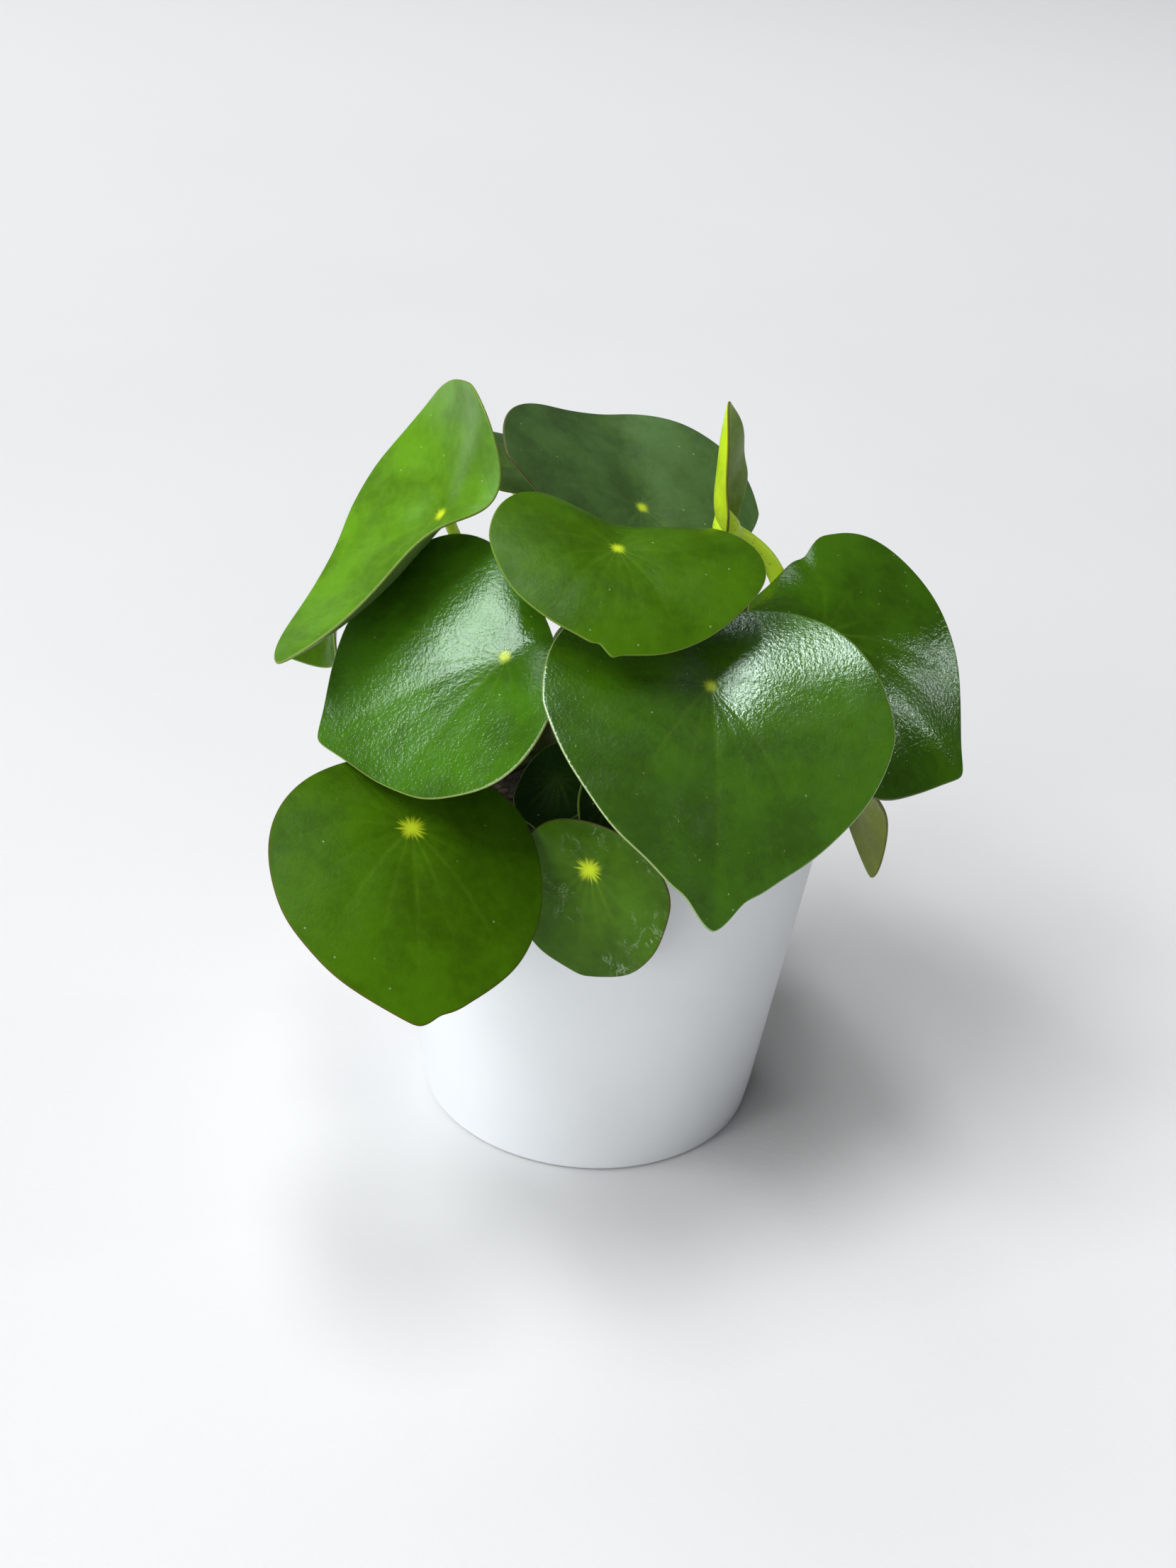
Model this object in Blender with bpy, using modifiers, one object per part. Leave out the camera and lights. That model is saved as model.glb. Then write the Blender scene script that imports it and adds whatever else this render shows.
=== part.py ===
"""A raindrop peperomia in a plain white ceramic pot.

Z is up, and the origin is the centre of the pot's flat underside. The plant's
fuller side, with the lowest leaves, faces -Y. Each leaf is a blade held at its
navel by a leaf stalk, and the stalks grow from three short stems in the soil.
"""

import math

import bmesh
import bpy
from mathutils import Matrix, Vector

MM = 0.001

# The pot, a turned ceramic cone with a rounded rim.
POT_HEIGHT = 98 * MM
POT_FOOT_RADIUS = 44 * MM
POT_FLARE = 0.132  # how much the radius grows for each unit of height
POT_WALL = 4 * MM
POT_FLOOR = 5 * MM
POT_FOOT_EDGE = 2 * MM
POT_STEPS = 64

# The potting mix, a little below the rim and slightly uneven.
SOIL_TOP = 84 * MM
SOIL_RELIEF = 1.0 * MM
GAP = 0.3 * MM

# The stems stand in plain holes in the soil.
STEM_DEPTH = 16 * MM
STEM_RADIUS = 4.5 * MM
STEMS = {
    # name: foot on the soil, how far the top leans, height over the soil
    "stem_left": dict(foot=(-15, -9), lean=(-5, -5), height=34),
    "stem_right": dict(foot=(15, -8), lean=(5, -2), height=36),
    "stem_rear": dict(foot=(1, 18), lean=(0, 6), height=38),
}

# The leaf stalks taper from the stem to the blade.
STALK_ROOT_RADIUS = 1.9 * MM
STALK_POINTS = 12
STALK_STRAIGHT = 1.5  # millimetres of straight stalk right under the blade

# The blades. Their thickness is kept even, so both faces follow one surface.
BLADE = 1.0 * MM
BASE_ROUNDNESS = 2.1
TIP_WIDTH = 0.17  # how fast the drip tip falls off to its sides, in radians
NAVEL_DEPTH = 1.5
NAVEL_WIDTH = 6.0
FOLD_WIDTH = 4.0
SPOKE_BUNCHING = 0.4  # spokes lie closer together near the tip


def leaf(at, heading, pitch, roll, front, back, left, right, stem, up, **more):
    """One leaf, in millimetres and degrees.

    at is the navel; heading turns the tip from +X towards +Y, pitch lowers the
    tip and roll lowers the left half. front and back are the blade's lengths
    ahead of and behind the navel, left and right its half widths. stem and up
    say where its stalk leaves. bow and droop curve the blade down ahead and
    behind, cup_left and cup_right curve its halves, in degrees per centimetre.
    fold opens the halves into a V, and wave lifts the margin in slow waves.
    lobes swells the outline in three, four and five waves, in percent, and
    stalk is the stalk's radius at the blade.
    """
    spec = dict(
        at=Vector(at), heading=heading, pitch=pitch, roll=roll,
        front=front, back=back, left=left, right=right, stem=stem, up=up,
        widest=4, point=1.8, drip=2, bow=3, droop=6, cup_left=3, cup_right=3,
        fold=0, wave=(0, 0, 0, 0), lobes=(0, 0, 0, 0, 0, 0), reach=14, rise=0.35,
        out=(0, 0, 0), side=(0, 0, 0), stalk=1.4, basal=False,
        spokes=20, rings=5, green=(0.045, 0.135, 0.008),
    )
    spec.update(more)
    return spec


LEAVES = {
    "leaf_front_right": leaf(
        (21, -52, 145), -82, 35, 12, 58, 23, 43, 41, "stem_right", 30,
        widest=9, point=1.4, drip=6, bow=4, droop=10, cup_left=2, cup_right=2, fold=5,
        wave=(-1, -3.5, 1.5, -1), lobes=(-1.5, 0.5, -2, -1.5, 0.5, 0.5), spokes=32,
        rings=6),
    "leaf_front_left": leaf(
        (-26, -51, 148), -176, 26, 32, 48, 12, 32, 35, "stem_left", 30,
        widest=9, drip=5, bow=2, droop=8, cup_right=2, fold=7, wave=(-1.5, -1.5, 0.5, 0),
        lobes=(0, 0, 0, -1, 0, 0), spokes=32, rings=6, green=(0.04, 0.12, 0.01)),
    "leaf_lower_left": leaf(
        (-43, -69, 113), -79, 29, 10, 47, 20, 31, 32, "stem_left", 16,
        widest=7, point=2, drip=4, droop=8, cup_left=4, fold=-1,
        lobes=(0, 0.5, -0.5, 0, 0.5, -0.5), reach=14, rise=0.2, spokes=32, rings=6,
        green=(0.035, 0.105, 0.008)),
    "leaf_lower_small": leaf(
        (-4, -64, 101), -113, 86, -3, 29, 12, 21, 18, "stem_right", 8,
        point=2.1, drip=1, droop=7, wave=(-0.5, -0.5, -0.5, -0.5),
        lobes=(0, -1, -0.5, 0.5, -0.5, 1), reach=8, rise=0.05, side=(-8, 0, 0),
        green=(0.045, 0.12, 0.015)),
    "leaf_top_middle": leaf(
        (-2, -41, 172), -86, 16, 9, 30, 19, 35, 30, "stem_right", 35,
        widest=2, point=1.6, drip=1, bow=10, droop=13, cup_left=6, cup_right=7, fold=4,
        wave=(-3, 0.5, 1.5, -1), lobes=(0, 0.5, -1.5, 1, -0.5, 0.5), spokes=32, rings=6,
        green=(0.06, 0.16, 0.01)),
    "leaf_top_back": leaf(
        (4, 23, 157), -73, 27, 18, 32, 33, 34, 41, "stem_rear", 36,
        widest=-3, point=1.3, drip=3, bow=1, droop=1, cup_left=2, fold=10,
        wave=(-1, 0, 1, 2), lobes=(0, 0.5, 1, 0, -1, 1), spokes=32, rings=6,
        green=(0.05, 0.1, 0.025)),
    "leaf_tall_left": leaf(
        (-44, -25, 170), -134, 49, -17, 51, 31, 15, 30, "stem_left", 33,
        widest=-5, point=1.7, drip=1, bow=-6, droop=-8, cup_right=4, fold=17,
        wave=(3, 1.5, -2, 2), lobes=(0, 1.5, -0.5, 0.5, 1, -1), side=(-6, 2, -4),
        spokes=32, rings=6, green=(0.085, 0.22, 0.008)),
    "leaf_right": leaf(
        (50, -14, 143), -9, 36, -18, 51, 20, 41, 40, "stem_right", 32,
        point=1.7, drip=6, bow=1, droop=10, cup_left=4, cup_right=4, fold=-1,
        wave=(-5, 3.5, 0, -0.5), lobes=(-1, -1, 0.5, 0.5, -1.5, -0.5), spokes=32, rings=6),
    "leaf_upright_young": leaf(
        (23, 5, 164), 173, -77, -1, 27, 5, 11, 16, "stem_right", 30,
        point=1.5, bow=-5, droop=-4, cup_left=-6, cup_right=-6, fold=26,
        wave=(2, 0, 0, -0.5), basal=True, reach=5, out=(40, 18, 10), side=(1, 5, 5),
        stalk=2, green=(0.12, 0.2, 0.03)),
    "leaf_left_hanging": leaf(
        (-70, 4, 136), -160, 58, -4, 21, 13, 16, 19, "stem_left", 24,
        widest=6, drip=1, fold=3, wave=(0.5, -2.5, 2, -1.5), lobes=(0.5, 1, 0, 0, 0, 0),
        green=(0.08, 0.14, 0.02)),
    "leaf_back_left": leaf(
        (-31, 36, 161), 143, -3, -5, 30, 15, 22, 22, "stem_rear", 32,
        fold=3, wave=(-0.5, 0.5, 0, -1), lobes=(-0.5, -0.5, 0, 0, 0, 0), side=(10, 0, 0),
        green=(0.06, 0.12, 0.03)),
    "leaf_right_hanging": leaf(
        (59, -12, 107), 27, 67, 1, 37, 11, 10, 13, "stem_right", 16,
        point=1.5, bow=2, fold=-1, wave=(0, -1, -0.5, 0), lobes=(0.5, 1, 0, 0.5, 0, 0.5),
        reach=5, rise=0.15, green=(0.16, 0.2, 0.06)),
    "leaf_inner_left": leaf(
        (-13, -38, 111), -101, 38, -18, 15, 10, 10, 10, "stem_left", 10,
        widest=5, fold=-1, reach=8, green=(0.03, 0.08, 0.01)),
    "leaf_inner_right": leaf(
        (1, -49, 112), -67, 57, 16, 15, 9, 13, 10, "stem_right", 8,
        widest=5, fold=4, reach=8, side=(6, 0, -2), green=(0.03, 0.08, 0.01)),
    "leaf_rear_left": leaf(
        (-30, 43, 116), 128, 36, 0, 36, 14, 23, 23, "stem_rear", 22,
        fold=4, wave=(-1, 0, 1, 0)),
    "leaf_rear_right": leaf(
        (34, 41, 122), 50, 38, 0, 38, 15, 25, 25, "stem_rear", 26,
        fold=4, wave=(-1, 1, 0, 0)),
    "leaf_rear_low": leaf(
        (2, 60, 103), 92, 60, 0, 31, 13, 20, 20, "stem_rear", 12,
        fold=3, reach=8),
}


def clear_scene():
    for obj in list(bpy.data.objects):
        bpy.data.objects.remove(obj, do_unlink=True)


def collection(name, helper=False):
    made = bpy.data.collections.new(name)
    bpy.context.scene.collection.children.link(made)
    made.hide_render = helper
    return made


def material(name, colour, roughness):
    made = bpy.data.materials.new(name)
    made.use_nodes = True
    shader = made.node_tree.nodes["Principled BSDF"]
    shader.inputs["Base Color"].default_value = (*colour, 1.0)
    shader.inputs["Roughness"].default_value = roughness
    shader.inputs["Metallic"].default_value = 0.0
    return made


def add_object(name, data, into, look=None):
    obj = bpy.data.objects.new(name, data)
    into.objects.link(obj)
    if look:
        obj.data.materials.clear()
        obj.data.materials.append(look)
    return obj


def evaluated_mesh(obj, name):
    """The object's shape with its modifiers applied and curve caps welded."""
    bpy.context.view_layer.update()
    graph = bpy.context.evaluated_depsgraph_get()
    mesh = bpy.data.meshes.new_from_object(obj.evaluated_get(graph))
    mesh.name = name
    bm = bmesh.new()
    bm.from_mesh(mesh)
    bmesh.ops.remove_doubles(bm, verts=bm.verts, dist=1e-6)
    bm.to_mesh(mesh)
    bm.free()
    return mesh


def turned(name, profile, into, look):
    """A profile of (radius, height) points turned round the Z axis."""
    mesh = bpy.data.meshes.new(name)
    points = [(radius, 0.0, height) for radius, height in profile]
    edges = [(i, i + 1) for i in range(len(points) - 1)]
    mesh.from_pydata(points, edges, [])
    obj = add_object(name, mesh, into, look)
    turn = obj.modifiers.new("Turn", "SCREW")
    turn.axis = "Z"
    turn.angle = 2 * math.pi
    turn.steps = turn.render_steps = POT_STEPS
    turn.use_merge_vertices = True
    turn.merge_threshold = 0.00001
    turn.use_smooth_shade = True
    return obj


def pot_radius(height):
    return POT_FOOT_RADIUS + POT_FLARE * height


def inner_radius(height):
    return pot_radius(height) - POT_WALL


def arc(centre, radius, start, end, count):
    """Points on an arc in the profile plane, with angles in degrees."""
    for step in range(count + 1):
        angle = math.radians(start + (end - start) * step / count)
        yield (
            centre[0] + radius * math.cos(angle),
            centre[1] + radius * math.sin(angle),
        )


def pot_profile():
    """From the middle of the floor up inside, over the rim and down outside."""
    rim = POT_WALL / 2
    corner = 4 * MM
    floor_radius = inner_radius(POT_FLOOR + corner)
    yield (0.0, POT_FLOOR)
    yield from arc(
        (floor_radius - corner, POT_FLOOR + corner), corner, -90, 0, 3)
    middle = pot_radius(POT_HEIGHT - rim) - rim
    yield from arc((middle, POT_HEIGHT - rim), rim, 180, 0, 6)
    edge = POT_FOOT_EDGE
    yield from arc((POT_FOOT_RADIUS - edge, edge), edge, 0, -90, 4)
    yield (0.0, 0.0)


def make_pot(parts):
    pot = turned(
        "pot", pot_profile(), parts, material("white glaze", (0.8, 0.82, 0.84), 0.4))
    return pot


def soil_profile():
    """From the middle of the top, out over it and down inside the pot."""
    corner = 4 * MM
    bottom = POT_FLOOR + GAP
    edge = inner_radius(SOIL_TOP) - GAP
    for step in range(6):
        yield (edge * step / 5, SOIL_TOP)
    yield (inner_radius(POT_FLOOR + 2 * corner) - GAP - 1 * MM, bottom + 2 * corner)
    yield (inner_radius(bottom) - corner - GAP - 1 * MM, bottom)
    yield (0.0, bottom)


def soil_relief(x, y):
    """Gentle unevenness of the soil's top, even all round at its edge."""
    edge = inner_radius(SOIL_TOP) - GAP
    inside = max(0.0, 1.0 - (x * x + y * y) / (edge * edge))
    waves = math.sin(180 * x + 1.1) * math.cos(150 * y - 0.4) + 0.6 * math.sin(330 * y + 210 * x)
    return SOIL_RELIEF * inside * waves


def make_soil(parts, cutters):
    turned_soil = turned(
        "soil_turned", soil_profile(), parts, material("potting mix", (0.03, 0.02, 0.013), 0.95))
    mesh = evaluated_mesh(turned_soil, "soil")
    bpy.data.objects.remove(turned_soil, do_unlink=True)
    for vertex in mesh.vertices:
        if vertex.co.z > SOIL_TOP - 0.1 * MM:
            vertex.co.z += soil_relief(vertex.co.x, vertex.co.y)
    soil = add_object("soil", mesh, parts)
    for name, stem in STEMS.items():
        hole = stem_hole(name, stem, cutters)
        cut = soil.modifiers.new("Hole for " + name, "BOOLEAN")
        cut.operation = "DIFFERENCE"
        cut.object = hole
    return soil


def stem_hole(name, stem, cutters):
    """A plain round hole a little wider than the stem that stands in it."""
    bm = bmesh.new()
    radius = STEM_RADIUS + GAP + 0.2 * MM
    bmesh.ops.create_cone(
        bm, cap_ends=True, segments=16, radius1=radius, radius2=radius,
        depth=2 * (STEM_DEPTH + GAP))
    mesh = bpy.data.meshes.new(name + "_hole")
    bm.to_mesh(mesh)
    bm.free()
    hole = add_object(name + "_hole", mesh, cutters)
    hole.location = (stem["foot"][0] * MM, stem["foot"][1] * MM, SOIL_TOP)
    hole.hide_render = True
    hole.display_type = "WIRE"
    return hole


def stem_point(stem, up):
    """A point on the stem's middle line, up millimetres over the soil."""
    share = max(0.0, up / stem["height"]) ** 1.6
    return Vector((
        (stem["foot"][0] + stem["lean"][0] * share) * MM,
        (stem["foot"][1] + stem["lean"][1] * share) * MM,
        SOIL_TOP + up * MM,
    ))


def tube(name, points, radii, resolution, into):
    """A round tube along the points, as a closed mesh."""
    curve = bpy.data.curves.new(name, "CURVE")
    curve.dimensions = "3D"
    curve.bevel_depth = 1.0
    curve.bevel_resolution = resolution
    curve.use_fill_caps = True
    line = curve.splines.new("POLY")
    line.points.add(len(points) - 1)
    for spot, point, radius in zip(line.points, points, radii):
        spot.co = (*point, 1.0)
        spot.radius = radius
    guide = add_object(name + "_line", curve, into)
    mesh = evaluated_mesh(guide, name)
    bpy.data.objects.remove(guide, do_unlink=True)
    return add_object(name, mesh, into)


def margin(spec, turn):
    """A point of the flat blade's margin, at an angle from the tip, in mm."""
    along, across = math.cos(turn), math.sin(turn)
    if along > 0:
        length, power = spec["front"] - spec["widest"] - spec["drip"], spec["point"]
    else:
        length, power = spec["back"] + spec["widest"], BASE_ROUNDNESS
    half = spec["left"] if across > 0 else spec["right"]
    spread = (abs(along) / length) ** power + (abs(across) / half) ** power
    swell = 1.0
    for i, order in enumerate((3, 4, 5)):
        cosine, sine = spec["lobes"][2 * i:2 * i + 2]
        swell += 0.01 * (cosine * math.cos(order * turn) + sine * math.sin(order * turn))
    reach = swell * spread ** (-1 / power) + spec["drip"] * math.exp(-abs(turn) / TIP_WIDTH)
    return spec["widest"] + reach * along, reach * across


def bent(length, curvature):
    """Where a length lies once bent to an arc: how far along, how far up."""
    if abs(curvature) < 1e-6:
        return length, 0.0
    angle = curvature * length
    return math.sin(angle) / curvature, (math.cos(angle) - 1) / curvature


def blade_point(spec, share, turn):
    """A point of the blade's upper face, share of the way from navel to margin."""
    per_cm = math.radians(1) / 10
    x, y = (share * value for value in margin(spec, turn))
    across, lift = bent(y, per_cm * (spec["cup_left"] if y > 0 else spec["cup_right"]))
    fold = math.tan(math.radians(spec["fold"]))
    lift += fold * (math.hypot(across, FOLD_WIDTH) - FOLD_WIDTH)
    lift -= NAVEL_DEPTH * math.exp(-(x * x + y * y) / (2 * NAVEL_WIDTH**2))
    wave = spec["wave"]
    lift += share**2 * (
        wave[0] * math.cos(2 * turn) + wave[1] * math.sin(2 * turn)
        + wave[2] * math.cos(3 * turn) + wave[3] * math.sin(3 * turn))
    curvature = per_cm * (spec["bow"] if x > 0 else spec["droop"])
    along, drop = bent(abs(x), curvature)
    angle = curvature * abs(x)
    along += lift * math.sin(angle)
    return Vector((math.copysign(along, x), across, drop + lift * math.cos(angle)))


def blade_frame(spec):
    """The matrix that sets a blade in its place, from millimetres to metres."""
    turn = (
        Matrix.Rotation(math.radians(spec["heading"]), 4, "Z")
        @ Matrix.Rotation(math.radians(spec["pitch"]), 4, "Y")
        @ Matrix.Rotation(math.radians(-spec["roll"]), 4, "X"))
    return Matrix.Translation(spec["at"] * MM) @ turn @ Matrix.Scale(MM, 4)


def spun_disc(spokes, rings):
    """A flat unit disc of spokes and rings, in triangles that face up."""
    bm = bmesh.new()
    line = [bm.verts.new((ring / rings, 0.0, 0.0)) for ring in range(rings + 1)]
    line += [bm.edges.new(pair) for pair in zip(line, line[1:])]
    bmesh.ops.spin(
        bm, geom=line, cent=(0, 0, 0), axis=(0, 0, 1), angle=2 * math.pi,
        steps=spokes, use_merge=True)
    bmesh.ops.remove_doubles(bm, verts=bm.verts, dist=1e-5)
    bmesh.ops.triangulate(bm, faces=bm.faces)
    bmesh.ops.recalc_face_normals(bm, faces=bm.faces)
    bm.normal_update()
    bm.faces.ensure_lookup_table()
    if bm.faces[0].normal.z < 0:
        bmesh.ops.reverse_faces(bm, faces=bm.faces)
    return bm


def make_blade(name, spec, parts):
    bm = spun_disc(spec["spokes"], spec["rings"])
    for vertex in bm.verts:
        share = vertex.co.length
        around = math.atan2(vertex.co.y, vertex.co.x)
        turn = around - SPOKE_BUNCHING * math.sin(around)
        vertex.co = blade_point(spec, share, turn) * MM
    mesh = bpy.data.meshes.new(name)
    bm.to_mesh(mesh)
    bm.free()
    mesh.shade_smooth()
    blade = add_object(name, mesh, parts, material(name + " green", spec["green"], 0.28))
    blade.matrix_world = blade_frame(spec) @ Matrix.Scale(1 / MM, 4)
    skin = blade.modifiers.new("Thickness", "SOLIDIFY")
    skin.thickness = BLADE
    skin.offset = -1
    return blade


def stalk_route(spec):
    """The stalk's middle line, from inside the stem to just under the navel."""
    frame = blade_frame(spec)
    start = stem_point(STEMS[spec["stem"]], spec["up"])
    if spec["basal"]:
        tip, behind = Vector((-spec["back"] - 0.9, 0.0, 0.0)), Vector((-1.0, 0.0, 0.0))
    else:
        tip = Vector((0.0, 0.0, -NAVEL_DEPTH - (BLADE + GAP) / MM))
        behind = Vector((0.0, 0.0, -1.0))
    end = frame @ (tip + behind * STALK_STRAIGHT)
    near = frame @ (tip + behind * spec["reach"]) + Vector(spec["side"]) * MM
    away = end - start
    out = start + Vector((0.25 * away.x, 0.25 * away.y, spec["rise"] * away.length))
    out += Vector(spec["out"]) * MM
    points = []
    for step in range(STALK_POINTS):
        t = step / (STALK_POINTS - 1)
        u = 1 - t
        points.append(
            u**3 * start + 3 * u * u * t * out + 3 * u * t * t * near + t**3 * end)
    return [*points, frame @ tip]


def make_stalk(name, spec, into):
    points = stalk_route(spec)
    slope = (spec["stalk"] * MM - STALK_ROOT_RADIUS) / (len(points) - 1)
    radii = [STALK_ROOT_RADIUS + slope * i for i in range(len(points))]
    return tube(name + "_stalk", points, radii, 2, into)


def make_stem(name, stem, parts):
    """A stem with the stalks of its leaves grown from it as one body."""
    count = 8
    span = stem["height"] + STEM_DEPTH / MM
    ups = [span * i / (count - 1) - STEM_DEPTH / MM for i in range(count)]
    points = [stem_point(stem, up) for up in ups]
    radii = [STEM_RADIUS * (1 - 0.25 * max(0.0, up / stem["height"]) ** 2) for up in ups]
    trunk = tube(name + "_trunk", points, radii, 4, parts)
    stalks = collection(name + "_stalks", helper=True)
    for leaf_name, spec in LEAVES.items():
        if spec["stem"] == name:
            make_stalk(leaf_name, spec, stalks)
    join = trunk.modifiers.new("Join stalks", "BOOLEAN")
    join.operation = "UNION"
    join.operand_type = "COLLECTION"
    join.collection = stalks
    join.solver = "EXACT"
    mesh = evaluated_mesh(trunk, name)
    for obj in [trunk, *stalks.objects]:
        bpy.data.objects.remove(obj, do_unlink=True)
    bpy.data.collections.remove(stalks)
    mesh.shade_smooth()
    mesh.set_sharp_from_angle(angle=math.radians(50))
    return add_object(name, mesh, parts, material(name + " green", (0.28, 0.4, 0.05), 0.45))


def main():
    clear_scene()
    parts = collection("potted_raindrop_peperomia")
    cutters = collection("cutters", helper=True)
    make_pot(parts)
    make_soil(parts, cutters)
    for name, stem in STEMS.items():
        make_stem(name, stem, parts)
    for name, spec in LEAVES.items():
        make_blade(name, spec, parts)


main()
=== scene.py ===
"""A potted raindrop peperomia, dressed for a picture over its CAD frame.

Every blade, the stems, the potting mix and the pot are finer pieces with the
form and place of the CAD nodes that they stand for. Lengths of the plant and
its pot are in millimetres and turned into metres as the meshes are made. The
view, the room and the materials are in metres.
"""

import math
import random

import bmesh
import bpy
import numpy as np
from mathutils import Matrix, Vector


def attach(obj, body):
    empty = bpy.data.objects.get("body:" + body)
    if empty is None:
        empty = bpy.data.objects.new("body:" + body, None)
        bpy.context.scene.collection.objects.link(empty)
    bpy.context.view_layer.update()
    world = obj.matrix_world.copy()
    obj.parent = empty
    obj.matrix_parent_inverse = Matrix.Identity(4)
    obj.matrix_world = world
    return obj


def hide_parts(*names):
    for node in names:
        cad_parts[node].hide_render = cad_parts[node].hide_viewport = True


MM = 0.001

# The pot and its potting mix, as in the CAD.
POT_HEIGHT = 98.0
POT_FOOT_RADIUS = 44.0
POT_FLARE = 0.132  # how much the radius grows for each unit of height
POT_WALL = 4.0
POT_FLOOR = 5.0
POT_FOOT_EDGE = 2.0
POT_CORNER = 4.0  # the rounding inside, between wall and floor
POT_SIDES = 224
SOIL_TOP = 84.0
SOIL_LOW = POT_FLOOR + 0.3
SOIL_RELIEF = 1.0  # the height of its slow waves
SOIL_GAP = 0.15  # between the mix and the wall
SOIL_ROWS, SOIL_SIDES = 80, 220
CRUMBS = 620
STEM_CLEARANCE = 6.2  # how far the crumbs stay from the middle of a stem

# The stems, with their feet on the mix, the lean of their tops and heights.
STEM_DEPTH = 16.0
STEM_RADIUS = 4.5
STEMS = {
    "stem_left": dict(foot=(-15, -9), lean=(-5, -5), height=34),
    "stem_right": dict(foot=(15, -8), lean=(5, -2), height=36),
    "stem_rear": dict(foot=(1, 18), lean=(0, 6), height=38),
}
STEM_POINTS = 40
STEM_SIDES = 40
STEM_VOXEL = 0.42
STEM_TAPER = 0.25  # how much thinner a stem is at its top
STEM_TOP = 0.72  # how round the stem ends
NODE_SWELL = 0.045
NODE_SPACING = 7.5  # between the slight swellings of a stem
STALK_ROOT_RADIUS = 1.9
STALK_COLLAR = 0.7  # how much the stalk widens where it leaves the stem
STALK_FLARE = 1.1  # how much the stalk widens where it spreads into the blade
STALK_STRAIGHT = 1.5
STALK_GAP = 0.3  # between stalk and blade in the CAD
STALK_BITE = 0.8  # how far the stalk enters the blade here
BASAL_GAP = 0.9  # between the young leaf's stalk and the base of its blade
KEEL = 9.0  # how far the young leaf's stalk runs on under its blade
STALK_POINTS = 40
STALK_SIDES = 20

# The blades.
BLADE = 1.0  # thickness
THINNING = 0.28  # how much thinner the blade is at its margin
EDGE_ROUND = 0.45  # the radius of its rounded margin
BASE_ROUNDNESS = 2.1  # the power of the curve behind the widest place
TIP_WIDTH = 0.17  # of the drawn-out tip, in radians round the leaf
TIP_ROUND = 0.05
MARGIN_WOBBLE = 0.004
# The navel, where the stalk meets the blade, lies in a dimple.
NAVEL_DEPTH = 1.5
NAVEL_WIDTH = 6.0
FOLD_WIDTH = 4.0  # of the round bottom of a folded blade
SPOKE_BUNCHING = 0.4  # how much closer the spokes stand towards the tip
FINE_GRID, COARSE_GRID = (224, 52), (136, 30)  # spokes and rings
# Veins: angle from the tip in degrees, and strength.
VEINS = ((0, 1.0), (19, 0.7), (-20, 0.7), (41, 0.9), (-43, 0.9), (66, 0.6), (-69, 0.6),
         (98, 0.7), (-101, 0.7), (131, 0.45), (-134, 0.45), (165, 0.35), (-168, 0.35))
VEIN_DEPTH = 0.055
VEIN_WIDTH = 1.1  # of the groove
VEIN_LINE_WIDTH = 0.55  # of the pale lines on the veins
VEIN_SWEEP = 0.24  # how much the veins turn towards the tip
WRINKLE_HEIGHT = 0.012
SWELL_HEIGHT = 0.12

# The photograph's view.
VIEW_PITCH = 28.5
VIEW_ROLL = 4.2
VIEW_ANGLE = 39.6  # from the bottom of the picture to its top
VIEW_DISTANCE = 0.555
VIEW_TARGET = (-0.005, 0.0, 0.089)
VIEW_BACK = (
    0.0, -math.cos(math.radians(VIEW_PITCH)), math.sin(math.radians(VIEW_PITCH)))

# The room. Each lamp has its direction from the plant, distance, size and power.
FLOOR_SIZE = 6.0  # from the middle to an edge
LIGHT_TARGET = (0, 0, 0.1)
LIGHT_COLOUR = (0.97, 0.985, 1.0)
ROOM_COLOUR, ROOM_STRENGTH = (0.95, 0.97, 1.0, 1.0), 0.05
LAMPS = {
    "window_high": ((-0.41, -0.26, 0.87), 6.0, (3.4, 1.2), 144),
    "window_low": ((-0.585, -0.375, 0.72), 6.0, (3.4, 1.2), 140),
    "window_back": ((-0.36, 0.61, 0.7), 6.0, (2.6, 2.6), 58),
    "fill_left": ((-0.62, -0.62, 0.48), 6.0, (3.0, 3.0), 20),
    "fill_front": ((-0.5, -0.8, 0.28), 6.0, (4.0, 3.0), 142),
    "panel_top": ((-0.05, -0.013, 1.0), 6.0, (3.2, 1.1), 122),
    "panel_right": ((0.89, 0.25, 0.38), 3.0, (0.16, 0.16), 3.6),
}


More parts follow.
